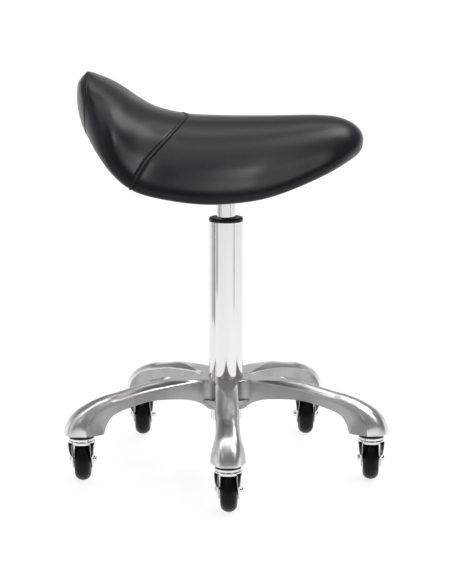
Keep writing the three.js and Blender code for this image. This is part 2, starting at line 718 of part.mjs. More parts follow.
// Side outline of a fork leg in [y, z], from the crown down round the end of the axle
function legOutline(shrink) {
  const count = 7;
  const radius = legEndRadius - shrink;
  const end = Array.from({ length: count }, (_, k) => {
    const angle = (legEndStartShare - k / (count - 1) * legEndSweepShare) * fullTurn;
    return [trail + Math.cos(angle) * radius, wheelRadius + Math.sin(angle) * radius];
  });
  const half = legTopHalf - shrink;
  const top = crownLow + crownThickness / 2 - shrink;
  return [[-half, top], [half, top], ...end, [-half, top - legBowRise]];
}

// A flat outline of [y, z] points, run from left to right
function sideProfile(outline, left, right) {
  const shape = new THREE.Shape(outline.map(([y, z]) => new THREE.Vector2(y, z)));
  const run = new THREE.ExtrudeGeometry(shape, { depth: right - left, bevelEnabled: false });
  return solidOf(run.rotateX(fullTurn / 4).rotateZ(fullTurn / 4).translate(left, 0, 0));
}

// The bowed outer face of a leg, seen from the front, as a prism that runs along Y
function bowedFace(inner, grow) {
  const count = 5;
  const low = wheelRadius - legEndRadius * 2;
  const flatFrom = wheelRadius + legBowRise;
  const bow = Array.from({ length: count }, (_, k) => {
    const share = k / (count - 1);
    const out = legOuterTop - (legOuterTop - legOuterFoot) * share * share;
    return [out + grow, skirtTop + (flatFrom - skirtTop) * share];
  });
  const outline = [[inner, skirtTop], ...bow, [legOuterFoot + grow, low], [inner, low]];
  const shape = new THREE.Shape(outline.map(([x, z]) => new THREE.Vector2(x, z)));
  const run = new THREE.ExtrudeGeometry(shape, { depth: wheelDiameter * 2, bevelEnabled: false });
  return solidOf(run.rotateX(fullTurn / 4).translate(0, wheelDiameter, 0));
}

// The hollow in the front of a leg, behind its outer shell
function legHollow(grow) {
  const low = wheelRadius + legBowRise - grow;
  const top = crownLow - gap * 2 + grow;
  const span = block([0, wheelDiameter], [-wheelDiameter, trail / 2 + grow], [low, top]);
  return sideProfile(legOutline(-overrun * 3), legInner + legPlate + gap - grow, wheelDiameter)
    .intersect(bowedFace(0, -legShell - gap + grow)).intersect(span);
}

function casterFork() {
  const crown = turned([
    [rivetRadius + gap, crownLow],
    [collarRadius - legShell / 2, crownLow], [collarRadius, crownLow + legShell],
    [collarRadius, skirtTop], [collarRadius - skirtWall, skirtTop],
    [collarRadius - skirtWall, crownLow + crownThickness], [rivetRadius + gap, crownLow + crownThickness],
  ], turnedSides);
  const whole = sideProfile(legOutline(0), legInner, wheelRadius).intersect(bowedFace(legInner, 0));
  const leg = whole.subtract(legHollow(gap));
  const both = leg.add(leg.mirror([1, 0, 0]));
  const reach = wheelRadius;
  return crown.add(both).subtract(crossBar(axleRadius + gap, -reach, reach, trail, wheelRadius));
}

// Bolt with dome nuts, tyre and wheel hub, turned about the axle
function onAxle(profile, sides) {
  const points = [...profile, profile[0]].map(([r, x]) => new THREE.Vector2(r, x));
  const wheel = new THREE.LatheGeometry(points, sides).rotateZ(-fullTurn / 4);
  return solidOf(wheel.translate(0, trail, wheelRadius));
}

function axleSet() {
  const face = legOuterFoot + gap;
  const bolt = crossBar(axleRadius, -face - domeRound, face + domeRound, trail, wheelRadius);
  const dome = onAxle([
    [0, face], [domeNutRadius, face], [domeNutRadius, face + domeNutRadius / 2],
    [domeNutRadius * domeShoulderShare, domeNutReach - domeRound], [domeNutRadius / 3, domeNutReach],
    [0, domeNutReach],
  ], smallSides);
  return join([bolt, dome, dome.mirror([1, 0, 0])]);
}

function tyre() {
  const arcCount = 6;
  const tread = Array.from({ length: arcCount + 1 }, (_, k) => {
    const angle = (k / arcCount - 0.5) * Math.PI;
    return [wheelRadius - treadHalf + Math.cos(angle) * treadHalf, Math.sin(angle) * treadHalf];
  });
  const seat = wheelHubRadius - gap * 3;
  return onAxle([[seat, -treadHalf], ...tread.slice(1, arcCount), [seat, treadHalf]], tyreSides);
}

function wheelHub() {
  const bore = axleRadius + runningGap;
  const rim = wheelHubRadius - gap * 4;
  const web = hubHalf / 2;
  const inner = rim - rimWall;
  const edge = treadHalf - rimInset;
  return onAxle([
    [bore, -hubHalf], [wheelBossRadius, -hubHalf], [wheelBossRadius, -web], [inner, -web], [inner, -edge],
    [rim, -edge], [rim, edge], [inner, edge], [inner, web], [wheelBossRadius, web],
    [wheelBossRadius, hubHalf], [bore, hubHalf],
  ], turnedSides);
}

// Assembly: base and column
piece('star_base', starBase(), castAluminium);
piece('outer_tube', outerTube(), chrome);
piece('guide_bushing', guideBushing(), blackPlastic);
const endDiscRadius = columnRadius - tubeTaper - tubeWall - gap;
piece('tube_end_disc', washer(rodBore, endDiscRadius, endDiscLow, endDiscLow + endDiscThickness), steel);
const race = (low) => washer(rodBore, bearingRadius, low, low + raceThickness, turnedSides);
piece('thrust_race_lower', race(lowerRaceLow), steel);
piece('thrust_ball_ring', ballRing(), steel);
piece('thrust_race_upper', race(upperRaceLow), steel);
const bumpStop = washer(rodBore, bumpStopRadius, bumpStopLow, bumpStopLow + bumpStopHeight, turnedSides);
piece('bump_stop', bumpStop, blackRubber);
const clipLow = endDiscLow - gap - clipThickness;
piece('retaining_clip', washer(rodBore, clipRadius, clipLow, clipLow + clipThickness, turnedSides), steel);
piece('piston_rod', pistonRod(), steel);
const pistonTop = rodTop - rodHeadHeight - gap;
const pistonRadius = liftRadius - liftWall - runningGap;
piece('piston', washer(rodBore, pistonRadius, pistonTop - pistonHeight, pistonTop), steel);

// Assembly: lift, bracket, release and seat
piece('gas_cylinder', gasCylinder(), chrome);
piece('release_button', releaseButton(), blackPlastic);
piece('seat_bracket', seatBracket(), blackSteel);
piece('lever_pin', leverPin(), steel);
piece('release_lever', releaseLever(), blackSteel);
piece('lever_grip', leverGrip(), blackPlastic);
fasteners('seat_bolt', seatBolt(), steel);
seatPieces();

// Assembly: one caster under each toe, all trailing nearly the same way
const stemSolid = casterStem();
const forkSolid = casterFork();
const axleSolid = axleSet();
const tyreSolid = tyre();
const wheelHubSolid = wheelHub();
for (let k = 0; k < armCount; k += 1) {
  const angle = (k / armCount + firstArmShare) * fullTurn;
  const caster = new THREE.Group();
  caster.position.set(Math.cos(angle) * casterCircleRadius, Math.sin(angle) * casterCircleRadius, 0);
  caster.rotation.z = casterTurnShares[k] * fullTurn;
  stool.add(caster);
  piece(`caster_stem_${k + 1}`, stemSolid, chrome, caster);
  piece(`caster_fork_${k + 1}`, forkSolid, chrome, caster);
  piece(`axle_set_${k + 1}`, axleSolid, chrome, caster);
  piece(`caster_tyre_${k + 1}`, tyreSolid, blackRubber, caster);
  piece(`wheel_hub_${k + 1}`, wheelHubSolid, blackPlastic, caster);
}

export default stool;
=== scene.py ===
from math import cos, pi, sin, tau
import bpy
import numpy as np
from mathutils import Matrix, Vector


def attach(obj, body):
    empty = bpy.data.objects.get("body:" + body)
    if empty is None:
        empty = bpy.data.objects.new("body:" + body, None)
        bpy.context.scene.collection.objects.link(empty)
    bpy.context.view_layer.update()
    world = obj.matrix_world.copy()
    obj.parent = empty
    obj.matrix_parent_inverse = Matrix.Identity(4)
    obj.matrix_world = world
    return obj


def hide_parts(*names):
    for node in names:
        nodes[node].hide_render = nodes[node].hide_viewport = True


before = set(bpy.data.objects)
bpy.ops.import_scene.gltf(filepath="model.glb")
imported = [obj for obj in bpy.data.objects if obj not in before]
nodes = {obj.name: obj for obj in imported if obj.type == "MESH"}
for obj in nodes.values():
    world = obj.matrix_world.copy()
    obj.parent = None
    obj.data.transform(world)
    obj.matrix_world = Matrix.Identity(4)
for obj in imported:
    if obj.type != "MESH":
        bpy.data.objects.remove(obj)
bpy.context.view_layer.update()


# Camera: the stool is seen from its right side, from a little above the seat, through a long
# lens that stands nearly three metres from the column.
lens_away, lens_height, lens_tilt, lens_turn = 2.795, 0.852, 0.2047, -0.013
lens = bpy.data.cameras.new("camera")
lens.lens, lens.sensor_width = 120.76, 36.0
camera = bpy.data.objects.new("camera", lens)
bpy.context.collection.objects.link(camera)
camera.location = (sin(lens_turn) * lens_away, -cos(lens_turn) * lens_away, lens_height)
camera.rotation_euler = (pi / 2 - lens_tilt, 0, lens_turn)
bpy.context.scene.camera = camera


# Studio: a pale floor and back wall, five soft lamps, and cards that stand round the stool
# outside the picture. The dark and grey cards draw the dark lines in the metal, and the white
# ones the light bands. A Wire is a value inside a finish, and a Finish is one surface.
class Wire:
    def __init__(self, finish, socket):
        self.finish, self.socket = finish, socket

    def __add__(self, other):
        return self.finish.node("Math", {"operation": "ADD"}, {0: self, 1: other})

    def __mul__(self, other):
        return self.finish.node("Math", {"operation": "MULTIPLY"}, {0: self, 1: other})

    __radd__, __rmul__ = __add__, __mul__

    def ramp(self, start=0.0, end=1.0, low=0.3, high=0.7):
        # what lies between low and high is spread evenly from start to end
        limits = {0: self, 1: low, 2: high, 3: start, 4: end}
        return self.finish.node("MapRange", {"clamp": True}, limits)


class Finish:
    def __init__(self, name, colour, roughness, metallic=0.0, **constants):
        self.material = bpy.data.materials.new(name)
        self.material.use_nodes = True
        self.material.diffuse_color = (*colour, 1)
        self.tree = self.material.node_tree
        self.shader = self.tree.nodes["Principled BSDF"]
        self.set(Base_Color=(*colour, 1), Roughness=roughness, Metallic=metallic, **constants)

    def feed(self, socket, value):
        if isinstance(value, Wire):
            self.tree.links.new(value.socket, socket)
        else:
            socket.default_value = value

    def set(self, **values):
        for name, value in values.items():
            self.feed(self.shader.inputs[name.replace("_", " ")], value)

    def node(self, kind, settings, inputs, output=0):
        made = self.tree.nodes.new("ShaderNode" + kind)
        for key, value in settings.items():
            setattr(made, key, value)
        for key, value in inputs.items():
            self.feed(made.inputs[key], value)
        return Wire(self, made.outputs[output])

    def place(self, stretch=(1, 1, 1)):
        spot = self.node("TexCoord", {}, {}, "Object")
        return self.node("Mapping", {"vector_type": "POINT"}, {"Vector": spot, "Scale": stretch})

    def noise(self, scale, detail=2.0, stretch=(1, 1, 1), rough=0.5):
        inputs = {"Scale": scale, "Detail": detail, "Roughness": rough}
        return self.node("TexNoise", {}, {"Vector": self.place(stretch), **inputs})

    def cells(self, scale):
        inputs = {"Vector": self.place(), "Scale": scale}
        return self.node("TexVoronoi", {"feature": "F1"}, inputs, "Distance")

    def shade(self, amount, dark, light):
        inputs = {0: amount, 6: (*dark, 1), 7: (*light, 1)}
        return self.node("Mix", {"data_type": "RGBA"}, inputs, 2)

    def bump(self, height, strength, distance):
        inputs = {"Height": height, "Strength": strength, "Distance": distance}
        return self.node("Bump", {}, inputs)


def card_finish(name, grey, glow):
    made = Finish(name, (grey, grey, grey), 0.9, Emission_Color=(1, 1, 1, 1),
                  Emission_Strength=glow)
    made.set(Roughness=made.noise(5.0).ramp(0.85, 0.95))
    return made


def stand_in_studio(name, low, high, finish, turn=0.0):
    bpy.ops.object.select_all(action="DESELECT")
    bpy.ops.mesh.primitive_cube_add(size=1)
    card = bpy.context.object
    card.name = name
    size, middle = Vector(high) - Vector(low), (Vector(high) + Vector(low)) / 2
    stretch = Matrix.Translation(middle) @ Matrix.Diagonal((*size, 1))
    card.data.transform(Matrix.Rotation(turn, 4, "Z") @ stretch)
    card.data.materials.append(finish.material)


white_table = Finish("white_table", (0.25, 0.25, 0.25), 0.6, Emission_Color=(1, 1, 1, 1),
                     Emission_Strength=0.83)
white_table.set(Roughness=white_table.noise(3.0).ramp(0.55, 0.65))
dark_card = card_finish("dark_card", 0.012, 0.0)
grey_card = card_finish("grey_card", 0.30, 0.30)
white_card = card_finish("white_card", 0.8, 0.75)
back_card = card_finish("back_card", 0.8, 1.1)
stand_in_studio("floor", (-9, -9, -0.02), (9, 4.0, 0), white_table)
stand_in_studio("back_wall", (-9, 4.0, -0.02), (9, 4.02, 1.2), white_table)
# turn from the lens's side, distance from the column, width, foot, top, finish
stands = (
    (-1.40, 0.93, 0.085, 0.0, 1.2, dark_card), (0.95, 1.10, 0.07, 0.0, 1.2, dark_card),
    (-1.66, 0.97, 0.62, 0.0, 1.2, grey_card), (-1.10, 1.25, 0.42, 0.0, 1.4, grey_card),
    (0.62, 3.2, 1.1, 1.7, 3.8, white_card), (-0.42, 3.4, 0.7, 1.7, 3.8, white_card),
    (3.02, 2.5, 2.4, 2.4, 3.6, back_card), (-1.62, 2.3, 2.4, 0.25, 1.7, back_card),
)
card_thick = 0.01
for number, (turn, away, wide, foot, top, finish) in enumerate(stands):
    stand_in_studio(f"stand_{number + 1}", (-wide / 2, -away - card_thick, foot),
                    (wide / 2, -away, top), finish, turn)
# place, height of the spot on the column that it points at, size, watts
lamps = {
    "overhead": ((0.0, 0.1, 2.4), 0.40, (2.2, 1.6), 21),
    "front_softbox": ((0.79, -1.10, 2.25), 0.45, (0.45, 0.45), 11),
    "rear_softbox": ((1.11, 0.78, 2.2), 0.45, (1.1, 0.9), 15),
    "left_softbox": ((-1.5, -0.5, 2.0), 0.45, (1.0, 1.0), 6),
    "nose_softbox": ((1.29, -0.97, 1.81), 0.45, (0.4, 0.3), 3.4),
}
for name, (place, aim, size, watts) in lamps.items():
    light = bpy.data.lights.new(name, "AREA")
    light.shape, light.size, light.size_y, light.energy = "RECTANGLE", *size, watts
    holder = bpy.data.objects.new(name, light)
    bpy.context.collection.objects.link(holder)
    holder.location = place
    towards = Vector((0, 0, aim)) - Vector(place)
    holder.rotation_euler = towards.to_track_quat("-Z", "Y").to_euler()
world = bpy.data.worlds.new("studio")
bpy.context.scene.world = world
world.use_nodes = True
world.node_tree.nodes["Background"].inputs["Color"].default_value = (1, 1, 1, 1)
world.node_tree.nodes["Background"].inputs["Strength"].default_value = 0.18
bpy.context.scene.view_settings.view_transform = "Standard"


# Star base: one aluminium casting of a hub and five arms, polished on top and ground on its
# side walls. The arms leave the hub in a fillet, fall in a bow, and end in a round toe with a
# socket for a caster. All sizes of the stool's pieces are in millimetres.
MM = 0.001


def select(made):
    bpy.ops.object.select_all(action="DESELECT")
    made.select_set(True)
    bpy.context.view_layer.objects.active = made


def copied(made):
    other = made.copy()
    other.data = made.data.copy()
    bpy.context.collection.objects.link(other)
    return other


def new_mesh(name, points, edges, faces, finishes):
    mesh = bpy.data.meshes.new(name)
    mesh.from_pydata([Vector(p) * MM for p in points], edges, faces)
    made = bpy.data.objects.new(name, mesh)
    bpy.context.collection.objects.link(made)
    for finish in finishes:
        mesh.materials.append(finish.material)
    return made


def clean(made, merge=0.01):
    select(made)
    bpy.ops.object.mode_set(mode="EDIT")
    bpy.ops.mesh.select_all(action="SELECT")
    bpy.ops.mesh.remove_doubles(threshold=merge * MM)
    bpy.ops.mesh.normals_make_consistent(inside=False)
    bpy.ops.object.mode_set(mode="OBJECT")


def smooth(made, angle=0.6):
    select(made)
    bpy.ops.object.shade_smooth_by_angle(angle=angle)


def apply_modifier(made, kind, **settings):
    select(made)
    added = made.modifiers.new(kind.lower(), kind)
    for key, value in settings.items():
        setattr(added, key, value)
    bpy.ops.object.modifier_apply(modifier=added.name)


def round_edges(made, width, segments, angle):
    apply_modifier(made, "BEVEL", width=width * MM, segments=segments, limit_method="ANGLE",
                   angle_limit=angle)


def combine(made, tool, operation):
    apply_modifier(made, "BOOLEAN", object=tool, operation=operation, solver="MANIFOLD")
    bpy.data.objects.remove(tool)


def turned(name, outline, finishes, steps=96, round_off=0.0, kind=0):
    # the half outline, as radius and height, is spun about the upright axis
    edges = [(k, (k + 1) % len(outline)) for k in range(len(outline))]
    edges = [(a, b) for a, b in edges if outline[a][0] or outline[b][0]]
    made = new_mesh(name, [(radius, 0, up) for radius, up in outline], edges, [], finishes)
    select(made)
    bpy.ops.object.mode_set(mode="EDIT")
    bpy.ops.mesh.select_all(action="SELECT")
    bpy.ops.mesh.spin(steps=steps, angle=tau, center=(0, 0, 0), axis=(0, 0, 1))
    bpy.ops.object.mode_set(mode="OBJECT")
    clean(made)
    made.data.polygons.foreach_set("material_index", [kind] * len(made.data.polygons))
    if round_off:
        round_edges(made, round_off, 2, 0.5)
    smooth(made)
    return made


def ring_outline(inner, outer, low, high):
    return [(inner, low), (outer, low), (outer, high), (inner, high)]


def bands(rings, count):
    # the faces between rings of points that follow one another
    return [(i * count + j, i * count + (j + 1) % count,
             (i + 1) * count + (j + 1) % count, (i + 1) * count + j)
            for i in range(rings - 1) for j in range(count)]


def closed_loft(name, rings, finishes, kinds=None):
    # rings of points joined by bands, with a flat face over each end
    count, points = len(rings[0]), [point for ring in rings for point in ring]
    ends = [tuple(range(count - 1, -1, -1)), tuple(range(len(points) - count, len(points)))]
    made = new_mesh(name, points, [], bands(len(rings), count) + ends, finishes)
    if kinds:
        made.data.polygons.foreach_set("material_index", kinds)
    clean(made)
    return made


arm_turns = [(k / 5 - 0.25) * tau for k in range(5)]


def one_for_each_arm(first, out=0.0):
    copies = []
    for turn in arm_turns:
        copies.append(copied(first))
        move = Matrix.Rotation(turn, 4, "Z") @ Matrix.Translation((out * MM, 0, 0))
        copies[-1].data.transform(move)
    bpy.data.objects.remove(first)
    return copies


polished = Finish("polished_aluminium", (0.80, 0.79, 0.78), 0.2, 1.0)
polished.set(
    Roughness=polished.noise(35, 3).ramp(0.28, 0.33, low=0.35),
    Base_Color=polished.shade(polished.noise(14).ramp(), (0.72, 0.70, 0.685), (0.80, 0.785, 0.77)),
    Normal=polished.bump(polished.noise(60, 1, (1, 1, 0.2)), 0.03, 0.0005))
ground = Finish("ground_aluminium", (0.42, 0.41, 0.40), 0.34, 1.0)
ground.set(
    Roughness=ground.noise(90, 3, (1, 1, 6)).ramp(0.29, 0.42),
    Base_Color=ground.shade(ground.noise(22, 3).ramp(), (0.36, 0.35, 0.34), (0.48, 0.47, 0.46)),
    Normal=ground.bump(ground.noise(260, 2, (1, 1, 8)), 0.12, 0.0003))
cast_skin = Finish("cast_underside", (0.45, 0.45, 0.45), 0.55, 1.0)
cast_skin.set(Roughness=cast_skin.noise(120, 3).ramp(0.48, 0.62))
casting = [polished, ground, cast_skin]

boss_underside, arm_rise, arm_half, toe_out = 75.0, 72.0, 16.6, 220.0
toe_start, toe_bend = toe_out - 28.0, 40.0
wall_steps, shoulder_steps = 4, 12
# way along the arm and over the toe; heights of the wall's foot, the crease and the ridge over
# the boss's underside; half widths at foot and crease and of the flat top; crispness of its edge
arm_rows = np.array([
    (20.0, 26.0, 68.0, 72.0, 16.6, 16.6, 16.4, 1.0),
    (31.0, 27.5, 68.0, 72.0, 16.6, 16.6, 16.2, 1.0),
    (44.0, 37.0, 68.0, 72.0, 16.6, 16.6, 15.6, 1.0),
    (60.0, 43.0, 68.0, 72.0, 16.6, 16.6, 13.6, 1.0),
    (82.0, 46.0, 66.0, 72.0, 16.6, 16.6, 9.6, 0.9),
    (100.0, 47.0, 64.0, 71.0, 16.6, 16.6, 5.4, 0.7),
    (120.0, 46.5, 61.0, 69.0, 16.6, 16.6, 2.2, 0.4),
    (148.0, 40.5, 55.0, 63.0, 16.6, 16.6, 1.6, 0.2),
    (170.0, 33.5, 49.0, 58.0, 16.6, 16.6, 1.6, 0.1),
    (178.0, 29.0, 47.0, 56.6, 16.6, 16.6, 1.8, 0.0),
    (184.0, 22.0, 45.0, 55.2, 16.6, 16.7, 1.8, 0.0),
    (189.0, 11.0, 43.3, 53.6, 16.7, 16.8, 2.0, 0.0),
    (192.0, 0.0, 42.0, 52.5, 16.7, 16.9, 2.2, 0.0),
    (207.2, 0.0, 36.5, 48.6, 17.1, 18.6, 2.6, 0.0),
    (222.4, 0.0, 33.0, 49.2, 17.5, 21.6, 3.4, 0.0),
    (237.2, 0.0, 30.0, 51.3, 17.9, 23.8, 4.6, 0.0),
    (248.8, 0.0, 27.6, 52.2, 18.2, 24.3, 5.0, 0.0),
    (252.4, 0.0, 27.2, 52.4, 18.3, 24.5, 4.9, 0.0),
    (254.83, 0.0, 27.0, 52.2, 18.4, 24.4, 4.8, 0.0),
])
arm_ways = np.concatenate([np.linspace(20, 160, 50)[:-1], np.linspace(160, 192, 24)[:-1],
                           np.linspace(192, 248, 44)[:-1], np.linspace(248, 254.83, 9)])


def eased(rows, ways):
    # smooth curve through uneven rows, with the parabola's slope at each
    at = rows[:, 0]
    slopes = np.gradient(rows, at, axis=0)
    i = np.clip(np.searchsorted(at, ways, side="right") - 1, 0, len(at) - 2)
    step = (at[i + 1] - at[i])[:, None]
    t = (ways - at[i])[:, None] / step
    return (rows[i] * (2 * t ** 3 - 3 * t ** 2 + 1) + rows[i + 1] * (3 * t ** 2 - 2 * t ** 3)
            + step * (slopes[i] * (t ** 3 - 2 * t ** 2 + t) + slopes[i + 1] * (t ** 3 - t ** 2)))


def arm_section(foot, crease, ridge, half_foot, half_crease, half_top, crisp):
    # up one wall, over its shoulder to the middle of the top, and down the other side
    wall = [(half_foot + (half_crease - half_foot) * k / wall_steps,
             foot + (crease - foot) * k / wall_steps) for k in range(wall_steps)]
    wall.append((half_crease, crease - 0.4))
    reach, rise, soft = half_crease - half_top, ridge - crease, 1 - crisp
    first, last = Vector((half_crease, crease)), Vector((half_top, ridge))
    pull_up = first + Vector((-0.30 * rise * soft, rise * (0.60 - 0.25 * crisp)))
    pull_out = last + Vector((reach * (0.62 - 0.42 * crisp), -rise * 0.25 * crisp))
    shoulder = []
    for k in range(shoulder_steps + 1):
        t = 0.03 + 0.97 * k / shoulder_steps
        shoulder.append(tuple(first * (1 - t) ** 3 + pull_up * 3 * t * (1 - t) ** 2
                              + pull_out * 3 * t * t * (1 - t) + last * t ** 3))
    side = wall + shoulder + [(half_top * 0.5, ridge), (0, ridge)]
    return side + [(-across, up) for across, up in reversed(side[:-1])]


arm_rings = []
for way, foot, crease, ridge, half_foot, half_crease, half_top, crisp in eased(arm_rows, arm_ways):
    out, lean = min(way, toe_start), max(way - toe_start, 0) / toe_bend
    section = arm_section(0 if lean else max(foot, 0), crease, ridge, half_foot, half_crease,
                          half_top, min(max(crisp, 0), 1))
    arm_rings.append([(out + sin(lean) * up, across, boss_underside + cos(lean) * up)
                      for across, up in section])
ring_points = len(arm_rings[0])
ring_kinds = [int(j < wall_steps or j > ring_points - wall_steps - 2) for j in range(ring_points)]
arm = closed_loft("arm", arm_rings, casting, ring_kinds * (len(arm_rings) - 1) + [1, 2])
base, *other_arms = one_for_each_arm(arm)
for arm in other_arms:
    combine(base, arm, "UNION")

half_turn, fillet, fillet_steps = tau / 10, 15.0, 12
fillet_away = (arm_half + fillet) / sin(half_turn)
hub_outline = []
for k in range(5):
    middle = (2 * k + 1) * half_turn - pi / 2
    for step in range(fillet_steps + 1):
        turn = middle + pi + (1 - step / (fillet_steps / 2)) * (pi / 2 - half_turn)
        hub_outline.append((cos(middle) * fillet_away + cos(turn) * fillet,
                            sin(middle) * fillet_away + sin(turn) * fillet))
hub_heights = (boss_underside + 38.0, boss_underside + arm_rise - 0.6)
hub = closed_loft("hub", [[(x, y, z) for x, y in hub_outline] for z in hub_heights], casting,
                  [1] * len(hub_outline) + [2, 0])
round_edges(hub, 3.2, 4, 1.0)
combine(base, hub, "UNION")
boss = turned("hub_boss", [(0, 99.5), (26, 99.5), (27.5, 100.2), (29, 101.8), (35, 107.5),
                           (44, 113.8), (44, 118), (0, 118)], casting, 72, kind=1)
combine(base, boss, "UNION")
bore = turned("hub_bore", [(0, 70), (22.7, 70), (25.3, 147), (25.3, 160), (0, 160)], casting)
combine(base, bore, "DIFFERENCE")

# the underside of an arm is hollow: its roof as way out and height, with a bevel to each wall
roof = [(49, 134.5), (73, 133.5), (100, 131.5), (147, 123), (171, 115.5), (180, 110), (184, 103)]
hollow_half, hollow_foot, bevel = arm_half - 4.5, 60, 3
hollow_rings = []
for x, z in roof:
    near = [(x, hollow_half, hollow_foot), (x, hollow_half, z - bevel), (x, hollow_half - bevel, z)]
    hollow_rings.append(near + [(x, -y, up) for x, y, up in reversed(near)])
hollow = closed_loft("hollow", hollow_rings, casting, [2] * (6 * (len(roof) - 1) + 2))
socket = turned("stem_socket", [(0, 70), (5.8, 70), (5.8, 105.3), (0, 105.3)], casting, 32, kind=2)
rim = turned("toe_rim", ring_outline(15.0, 60, 70, 78.3), casting, 48, kind=2)
for tools in zip(one_for_each_arm(hollow), one_for_each_arm(socket, toe_out),
                 one_for_each_arm(rim, toe_out)):
    for tool in tools:
        combine(base, tool, "DIFFERENCE")
for face in base.data.polygons:
    if face.normal.z < -0.3:
        face.material_index = 2
smooth(base, 0.5)
base.name = base.data.name = "cast_star_base"
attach(base, "base")
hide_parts("star_base")


# Column: a chromed steel tube whose tapered foot is pushed into the hub. A guide bushing of
# black plastic is pressed into its top, and the bushing's lip is the collar that shows.
chrome = Finish("chrome", (0.79, 0.775, 0.765), 0.08, 1.0)
chrome_cloud = chrome.noise(30, 2, (1, 1, 0.08)).ramp()
chrome.set(
    Roughness=chrome.noise(20, 2, (1, 1, 0.15)).ramp(0.06, 0.12),
    Base_Color=chrome.shade(chrome_cloud, (0.76, 0.745, 0.735), (0.82, 0.805, 0.795)),
    Normal=chrome.bump(chrome.noise(40, 1, (1, 1, 0.1)), 0.05, 0.0004))
black_plastic = Finish("black_plastic", (0.006, 0.006, 0.007), 0.38, Specular_IOR_Level=0.3)
black_plastic.set(Roughness=black_plastic.noise(300, 2).ramp(0.30, 0.46))

tube = turned("column_tube", [(17, 83), (22.5, 83), (25, 147), (25, 377.2), (24.2, 378),
                              (23.4, 378), (23, 377.6), (23, 147), (20.5, 84.7), (17, 84.7)],
              [chrome], 128)
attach(tube, "base")
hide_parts("outer_tube")
bushing = turned("column_bushing", [(14.35, 288), (22.7, 288), (22.7, 378.3), (24.7, 378.3),
                                    (24.7, 381.2), (23.6, 382.5), (14.35, 382.5)],
                 [black_plastic], 96, 0.3)
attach(bushing, "base")
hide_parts("guide_bushing")


# Foot of the lift: a steel disc that rests on the tube's lip and, on the piston rod, a clip, a
# thrust bearing of two races and a ring of balls, and a rubber stop.
steel = Finish("zinc_steel", (0.62, 0.62, 0.63), 0.34, 1.0)
steel.set(
    Roughness=steel.noise(150, 2).ramp(0.26, 0.44),
    Base_Color=steel.shade(steel.noise(60, 2).ramp(), (0.56, 0.56, 0.57), (0.68, 0.68, 0.69)))
black_rubber = Finish("black_rubber", (0.02, 0.02, 0.021), 0.6)
black_rubber.set(Roughness=black_rubber.noise(200, 3).ramp(0.5, 0.7))


def paint(node, finish):
    nodes[node].data.materials.clear()
    nodes[node].data.materials.append(finish.material)


rod_clearance = 5.3
# node, outer radius, low and high end, body, finish, slot
lift_rings = (
    ("tube_end_disc", 20.2, 85.0, 89.0, "base", steel, "steel"),
    ("retaining_clip", 9.0, 83.3, 84.7, "lift_rod", steel, "steel"),
    ("thrust_race_lower", 12.0, 89.3, 90.8, "base", steel, "steel"),
    ("thrust_race_upper", 12.0, 94.4, 95.9, "lift_rod", steel, "steel"),
    ("bump_stop", 11.0, 96.2, 103.5, "lift_rod", black_rubber, "black_rubber"),
)
for node, outer, low, high, body, finish, slot in lift_rings:
    ring = turned(f"fine_{node}", ring_outline(rod_clearance, outer, low, high), [finish], 64, 0.25)
    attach(ring, body)
    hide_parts(node)
for node in ("thrust_ball_ring", "piston_rod", "piston"):
    paint(node, steel)


# Gas cylinder: a chromed tube that slides in the bushing and is closed at both ends. The release
# button sits in its top end and opens the valve when the lever presses it.
cylinder = turned("lift_cylinder", [(5.35, 103.8), (12.8, 103.8), (14, 105), (14, 438.8),
                                    (12.8, 440), (3.3, 440), (3.3, 426), (0, 426), (0, 342.8),
                                    (12.8, 342.8), (12.8, 111.8), (5.35, 111.8)], [chrome])
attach(cylinder, "seat_lift")
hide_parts("gas_cylinder")
button = turned("valve_button_fine", [(0, 428), (3, 428), (3, 443), (4.5, 443), (4.5, 447),
                                      (4, 447.5), (0, 447.5)], [black_plastic], 48, 0.2)
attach(button, "valve_button")
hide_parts("release_button")


# Seat bracket, lever and fasteners: the bracket is steel with a black powder coat, bolted up
# into four tee nuts in the seat board. The lever turns on a steel pin and has a plastic grip.
powder_coat = Finish("black_powder_coat", (0.018, 0.018, 0.019), 0.45)
powder_coat.set(Roughness=powder_coat.noise(400, 2).ramp(0.36, 0.54),
                Normal=powder_coat.bump(powder_coat.noise(900, 2), 0.15, 0.0002))
for node in ("seat_bracket", "release_lever"):
    paint(node, powder_coat)
paint("lever_grip", black_plastic)
paint("lever_pin", steel)
for k in range(1, 5):
    paint(f"seat_bolt_{k}", steel)
    paint(f"tee_nut_{k}", steel)


# Foam core and seat board: a saddle of moulded foam on a bent plywood board that is stained
# black. Its form runs from the cantle's tip to the nose through rings that are ovals at the tips
# and arches over the board in between, and the leather follows the same form.
half_long, seat_tall, half_wide, seat_low = 200, 165, 180, 427.0
